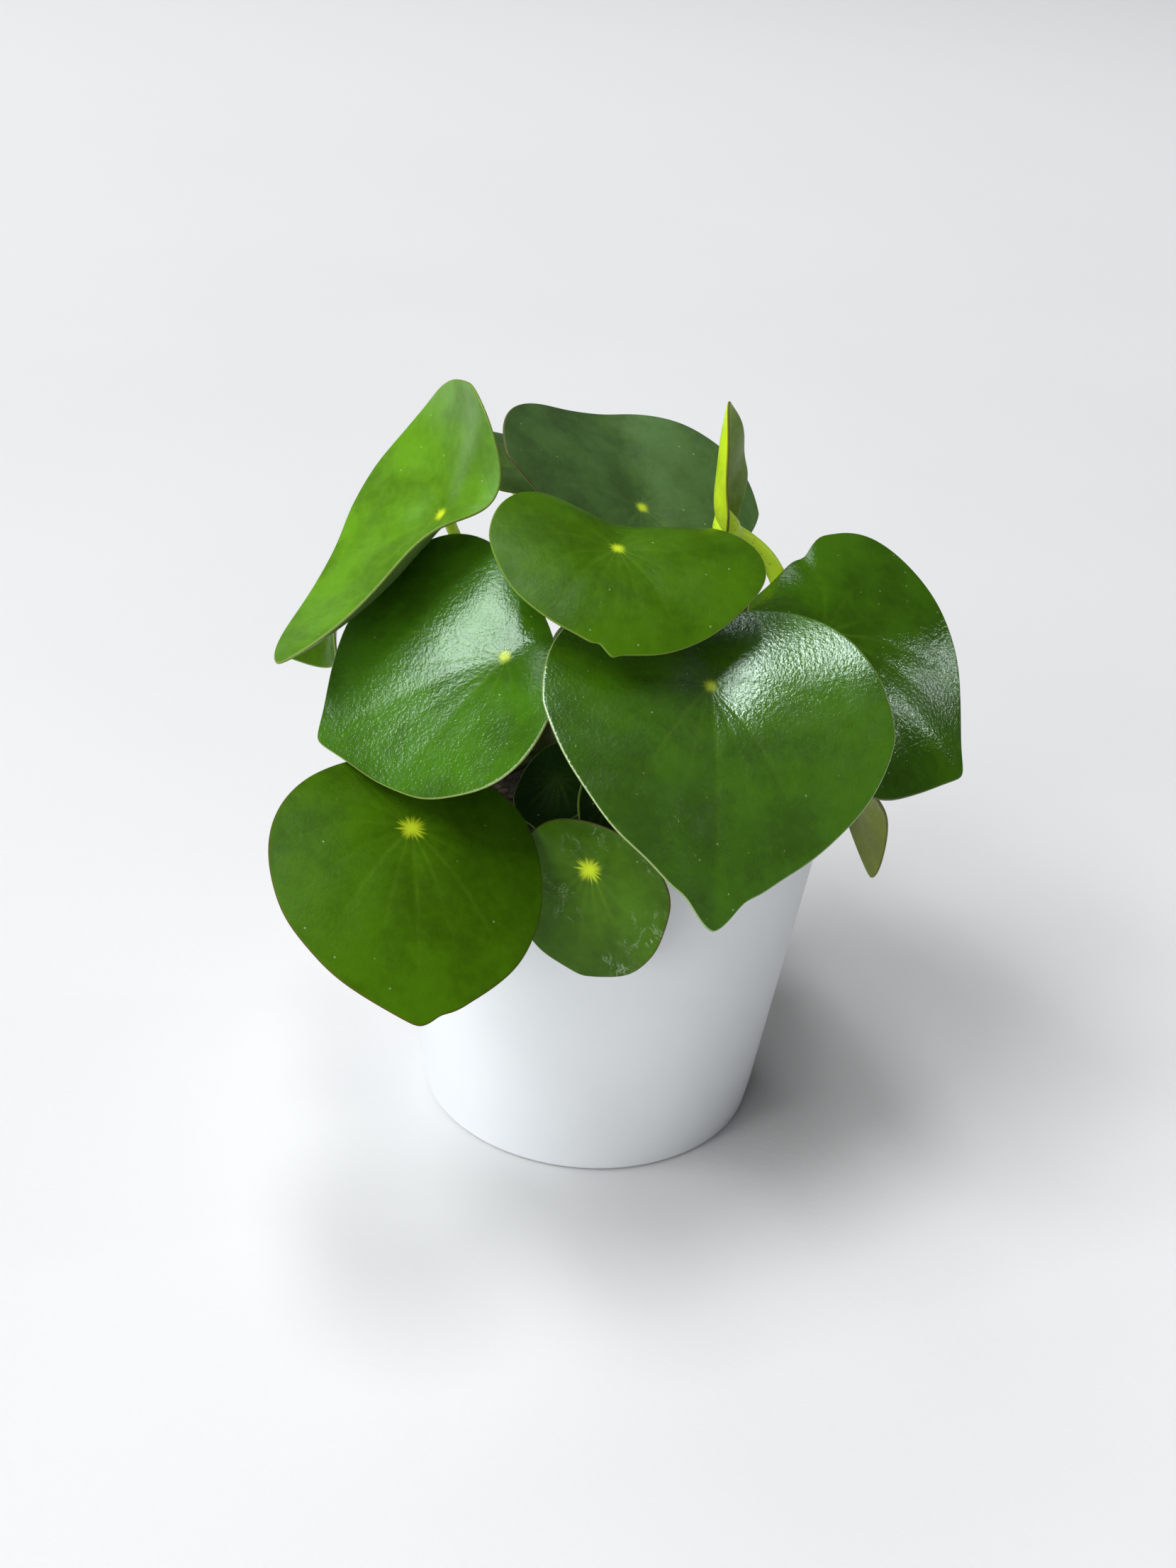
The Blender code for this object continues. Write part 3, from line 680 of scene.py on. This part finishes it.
def add_facts(mesh, grid, rows, around):
    """What the leaf's colours need at each point: how far out, veins, side."""
    def both(values, poles):
        return np.concatenate([values, values[-2::-1]]).ravel().tolist() + poles

    x, y, share = grid["x"], grid["y"], grid["share"]
    out = np.hypot(x, y)
    fade = np.clip(1 - 1.15 * share, 0, 1)
    vein = vein_field(x, y, share, VEIN_LINE_WIDTH) * fade
    top = rows // 2 + 1
    under = np.concatenate(
        [np.zeros(top * around), np.ones((rows - top) * around), [0, 1]])
    for name, values in (
            ("navel_mm", both(out, [0.0, 0.0])), ("vein", both(vein, [0.0, 0.0])),
            ("edge_mm", both(grid["edge"], [50.0, 50.0])), ("under", under)):
        fact = mesh.attributes.new(name, "FLOAT", "POINT")
        fact.data.foreach_set("value", np.asarray(values, np.float32))
    turn = np.arctan2(y, x)
    ray = np.stack([2.4 * np.cos(turn), 2.4 * np.sin(turn), 0.03 * out], -1)
    ray = np.concatenate([ray, ray[-2::-1]]).reshape(-1, 3)
    fact = mesh.attributes.new("ray", "FLOAT_VECTOR", "POINT")
    fact.data.foreach_set(
        "vector", np.concatenate([ray, np.zeros((2, 3))]).astype(np.float32).ravel())


def stem_point(stem, up):
    """The stem's middle at a height above the mix; stems lean more higher up."""
    share = max(0.0, up / stem["height"]) ** 1.6
    return Vector((
        stem["foot"][0] + stem["lean"][0] * share,
        stem["foot"][1] + stem["lean"][1] * share,
        SOIL_TOP + up))


def stalk_line(spec):
    """The stalk's middle line and radii, from inside the stem into the blade."""
    turn, at = leaf_frame(spec)
    turn, at = Matrix(turn.tolist()), Vector(at)
    start = stem_point(STEMS[spec["stem"]], spec["up"])
    if spec["basal"]:
        tip, behind = Vector((-spec["back"] - BASAL_GAP, 0, 0)), Vector((-1, 0, 0))
    else:
        tip = Vector((0, 0, -NAVEL_DEPTH - BLADE - STALK_GAP))
        behind = Vector((0, 0, -1))
    end = at + turn @ (tip + behind * STALK_STRAIGHT)
    near = at + turn @ (tip + behind * spec["reach"]) + Vector(spec["side"])
    away = end - start
    out = start + Vector((0.25 * away.x, 0.25 * away.y, spec["rise"] * away.length))
    out += Vector(spec["out"])
    points = []
    for step in range(STALK_POINTS):
        t = step / (STALK_POINTS - 1)
        u = 1 - t
        points.append(
            u**3 * start + 3 * u * u * t * out + 3 * u * t * t * near + t**3 * end)
    last = tip - behind * (KEEL if spec["basal"] else STALK_BITE)
    if spec["basal"]:
        last.z -= BLADE
    for more in np.linspace(0, 1, 9)[1:]:
        points.append(end.lerp(at + turn @ last, more))
    radii = []
    length = sum((b - a).length for a, b in zip(points, points[1:]))
    gone = 0.0
    for i, point in enumerate(points):
        gone += (point - points[i - 1]).length if i else 0.0
        left = length - gone
        base = STALK_ROOT_RADIUS + (spec["stalk"] - STALK_ROOT_RADIUS) * gone / length
        base += STALK_COLLAR * math.exp(-((gone - 3.5) / 3.0) ** 2)
        if spec["basal"]:
            base += STALK_FLARE * math.exp(-(((left - KEEL) / 5.0) ** 2))
            radii.append(base * min(1.0, 0.25 + left / KEEL))
        else:
            radii.append(base + STALK_FLARE * math.exp(-((left / 1.6) ** 2)))
    return points, radii


def tube(bm, points, radii, sides=STALK_SIDES):
    """Adds a closed round tube along the points."""
    side = Vector((1, 0.2, 0)).normalized()
    rings = []
    for i, (point, radius) in enumerate(zip(points, radii)):
        ahead = (points[min(i + 1, len(points) - 1)] - points[max(i - 1, 0)]).normalized()
        side = (side - ahead * side.dot(ahead)).normalized()
        other = ahead.cross(side)
        rings.append([
            bm.verts.new(point + float(radius) * (
                math.cos(2 * math.pi * k / sides) * side
                + math.sin(2 * math.pi * k / sides) * other))
            for k in range(sides)])
    for a, b in zip(rings, rings[1:]):
        for k in range(sides):
            bm.faces.new((a[k], a[(k + 1) % sides], b[(k + 1) % sides], b[k]))
    bm.faces.new(reversed(rings[0]))
    bm.faces.new(rings[-1])


def make_stem(name, stem, look):
    """A stem with its stalks grown together, with soft crotches."""
    bm = bmesh.new()
    ups = np.linspace(-STEM_DEPTH, stem["height"], STEM_POINTS)
    radii = [
        STEM_RADIUS * (1 - STEM_TAPER * max(0.0, up / stem["height"]) ** 2)
        * (1 + NODE_SWELL * math.cos(2 * math.pi * up / NODE_SPACING)) for up in ups]
    radii[-1] *= STEM_TOP
    tube(bm, [stem_point(stem, up) for up in ups], radii, STEM_SIDES)
    for spec in LEAVES.values():
        if spec["stem"] == name:
            tube(bm, *stalk_line(spec))
    bmesh.ops.scale(bm, vec=(MM, MM, MM), verts=bm.verts)
    mesh = bpy.data.meshes.new(name)
    bm.to_mesh(mesh)
    bm.free()
    piece = add_piece(name + "_fine", mesh, look, [name])
    grow = piece.modifiers.new("Grown together", "REMESH")
    grow.mode = "VOXEL"
    grow.voxel_size = STEM_VOXEL * MM
    grow.use_smooth_shade = True
    soften = piece.modifiers.new("Soften", "SMOOTH")
    soften.factor = 0.5
    soften.iterations = 6
    settle(piece)


def settle(piece):
    """Applies a piece's modifiers."""
    bpy.context.view_layer.update()
    graph = bpy.context.evaluated_depsgraph_get()
    mesh = bpy.data.meshes.new_from_object(piece.evaluated_get(graph))
    piece.modifiers.clear()
    piece.data = mesh
    mesh.shade_smooth()


def pot_radius(height):
    return POT_FOOT_RADIUS + POT_FLARE * height


def arc(centre, radius, start, end, count):
    """Points on an arc in the profile plane, with angles in degrees."""
    for step in range(count + 1):
        angle = math.radians(start + (end - start) * step / count)
        yield (
            centre[0] + radius * math.cos(angle),
            centre[1] + radius * math.sin(angle))


def turned(profile, around):
    """Points and faces of a profile of (radius, height) turned round Z."""
    angle = np.linspace(0, 2 * np.pi, around, endpoint=False)
    rows = np.array([
        np.stack([r * np.cos(angle), r * np.sin(angle), z + 0 * angle], -1)
        for r, z in profile[1:-1]])
    poles = [(0, 0, profile[0][1]), (0, 0, profile[-1][1])]
    points = np.concatenate([rows.reshape(-1, 3), poles])
    return points, ring_faces(len(rows), around)


def make_pot():
    """The pot, turned from the middle of its inner floor over the rim to its foot."""
    rim = POT_WALL / 2
    corner = POT_CORNER
    floor_radius = pot_radius(POT_FLOOR + corner) - POT_WALL
    profile = [(0.0, POT_FLOOR)]
    profile += [(floor_radius * k / 6 - corner * k / 6, POT_FLOOR) for k in range(1, 6)]
    profile += arc((floor_radius - corner, POT_FLOOR + corner), corner, -90, 0, 8)
    top = POT_HEIGHT - rim
    for k in range(1, 12):
        z = POT_FLOOR + corner + (top - POT_FLOOR - corner) * k / 12
        profile.append((pot_radius(z) - POT_WALL, z))
    profile += arc((pot_radius(top) - rim, top), rim, 180, 0, 16)
    edge = POT_FOOT_EDGE
    for k in range(1, 16):
        z = top + (edge - top) * k / 16
        profile.append((pot_radius(z), z))
    profile += arc((POT_FOOT_RADIUS - edge, edge), edge, 0, -90, 10)
    profile += [((POT_FOOT_RADIUS - edge) * (6 - k) / 6, 0.0) for k in range(1, 6)]
    profile.append((0.0, 0.0))
    mesh = mesh_of("pot_fine", *turned(profile, POT_SIDES))
    add_piece("pot_fine", mesh, pot_look(), ["pot"])


def soil_height(x, y):
    """The mix's slow unevenness in millimetres, as in the CAD."""
    edge = pot_radius(SOIL_TOP) - POT_WALL
    inside = np.clip(1 - (x * x + y * y) / edge**2, 0, 1)
    waves = np.sin(0.18 * x + 1.1) * np.cos(0.15 * y - 0.4)
    waves = waves + 0.6 * np.sin(0.33 * y + 0.21 * x)
    return SOIL_RELIEF * inside * waves


def make_soil():
    """The mix: slow waves as in the CAD, with small lumps on them."""
    edge = pot_radius(SOIL_TOP) - POT_WALL - SOIL_GAP
    profile = [(edge * k / SOIL_ROWS, SOIL_TOP) for k in range(SOIL_ROWS + 1)]
    for z, inset in ((60.0, 1), (12.0, 1), (SOIL_LOW, 5)):
        profile.append((pot_radius(z) - POT_WALL - inset, z))
    profile.append((0.0, SOIL_LOW))
    points, faces = turned(profile, SOIL_SIDES)
    rng = np.random.default_rng(5)
    lumps = np.zeros(len(points))
    x, y = points[:, 0], points[:, 1]
    for wave in (0.5, 0.9, 1.5, 2.3):
        for _ in range(5):
            angle, phase = rng.uniform(0, 2 * np.pi, 2)
            lumps += 0.18 / wave**0.7 * np.cos(
                wave * (x * math.cos(angle) + y * math.sin(angle)) + phase)
    top = points[:, 2] > SOIL_TOP - 1
    inside = np.clip((edge - np.hypot(x, y)) / 1.5, 0, 1)
    points[:, 2] += np.where(top, soil_height(x, y) + lumps * inside, 0)
    mesh = mesh_of("soil_fine", points, faces)
    add_piece("soil_fine", mesh, soil_look(), ["soil"])
    make_crumbs(edge)


def make_crumbs(edge):
    """Crumbs of bark that lie half sunk in the mix, clear of the stems."""
    rng = random.Random(11)
    bm = bmesh.new()
    for _ in range(CRUMBS):
        out, angle = edge * math.sqrt(rng.random()) * 0.96, rng.uniform(0, 2 * math.pi)
        x, y = out * math.cos(angle), out * math.sin(angle)
        away = min(math.dist((x, y), stem["foot"]) for stem in STEMS.values())
        if away < STEM_CLEARANCE:
            continue
        size = rng.uniform(0.5, 1.5) ** 1.3
        made = bmesh.ops.create_icosphere(bm, subdivisions=1, radius=1.0)["verts"]
        for vertex in made:
            vertex.co *= rng.uniform(0.72, 1.2)
        shape = Matrix.Diagonal((size * rng.uniform(0.9, 1.9), size, size * 0.55))
        turn = Matrix.Rotation(rng.uniform(0, 6.3), 4, "Z") @ Matrix.Rotation(
            rng.uniform(-0.5, 0.5), 4, "X")
        z = SOIL_TOP + float(soil_height(x, y)) + 0.25 * size
        place = Matrix.Scale(MM, 4) @ Matrix.Translation((x, y, z))
        bmesh.ops.transform(bm, matrix=place @ turn @ shape.to_4x4(), verts=made)
    mesh = bpy.data.meshes.new("soil_crumbs")
    bm.to_mesh(mesh)
    bm.free()
    add_piece("soil_crumbs", mesh, bark_look(), [], smooth=False)


def make_floor():
    """The stage: a plain floor under the pot."""
    mesh = bpy.data.meshes.new("floor")
    bm = bmesh.new()
    bmesh.ops.create_grid(bm, x_segments=8, y_segments=8, size=FLOOR_SIZE)
    bm.to_mesh(mesh)
    bm.free()
    mesh.materials.append(floor_look())
    floor = bpy.data.objects.new("floor", mesh)
    bpy.context.scene.collection.objects.link(floor)


def area_light(name, direction, distance, size, power):
    """A rectangular lamp that shines on the plant from a direction."""
    data = bpy.data.lights.new(name, "AREA")
    data.shape = "RECTANGLE"
    data.size, data.size_y = size
    data.energy = power
    data.color = LIGHT_COLOUR
    lamp = bpy.data.objects.new(name, data)
    bpy.context.scene.collection.objects.link(lamp)
    target = Vector(LIGHT_TARGET)
    lamp.location = target + Vector(direction).normalized() * distance
    lamp.rotation_euler = (target - lamp.location).to_track_quat("-Z", "Y").to_euler()


def make_light():
    """Soft window light from the left, and panels for the sheen of two leaves."""
    world = bpy.data.worlds.new("studio")
    world.use_nodes = True
    back = world.node_tree.nodes["Background"]
    back.inputs["Color"].default_value = ROOM_COLOUR
    back.inputs["Strength"].default_value = ROOM_STRENGTH
    bpy.context.scene.world = world
    for name, lamp in LAMPS.items():
        area_light(name, *lamp)


def make_camera():
    """The photograph's view: down at the plant, with a slight roll."""
    roll = math.radians(VIEW_ROLL)
    back = Vector(VIEW_BACK)
    right = Vector((1, 0, 0))
    up = back.cross(right)
    side = math.cos(roll) * right + math.sin(roll) * up
    top = -math.sin(roll) * right + math.cos(roll) * up
    data = bpy.data.cameras.new("view")
    data.sensor_fit = "VERTICAL"
    data.sensor_height = 24.0
    data.lens = data.sensor_height / 2 / math.tan(math.radians(VIEW_ANGLE / 2))
    camera = bpy.data.objects.new("view", data)
    bpy.context.scene.collection.objects.link(camera)
    place = Matrix((side, top, back)).transposed().to_4x4()
    place.translation = Vector(VIEW_TARGET) + back * VIEW_DISTANCE
    camera.matrix_world = place
    bpy.context.scene.camera = camera
    bpy.context.scene.view_settings.view_transform = "Standard"


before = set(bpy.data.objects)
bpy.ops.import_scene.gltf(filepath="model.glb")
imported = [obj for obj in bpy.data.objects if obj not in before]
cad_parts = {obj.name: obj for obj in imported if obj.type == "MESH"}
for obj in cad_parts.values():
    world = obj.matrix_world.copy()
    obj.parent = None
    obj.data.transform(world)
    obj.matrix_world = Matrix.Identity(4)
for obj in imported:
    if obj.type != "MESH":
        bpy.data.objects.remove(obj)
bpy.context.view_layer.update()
make_camera()
make_light()
make_floor()
make_pot()
make_soil()
stems = stem_look()
for name, stem in STEMS.items():
    make_stem(name, stem, stems)
for number, (name, spec) in enumerate(LEAVES.items()):
    make_blade(name, spec, 40 + 7 * number)
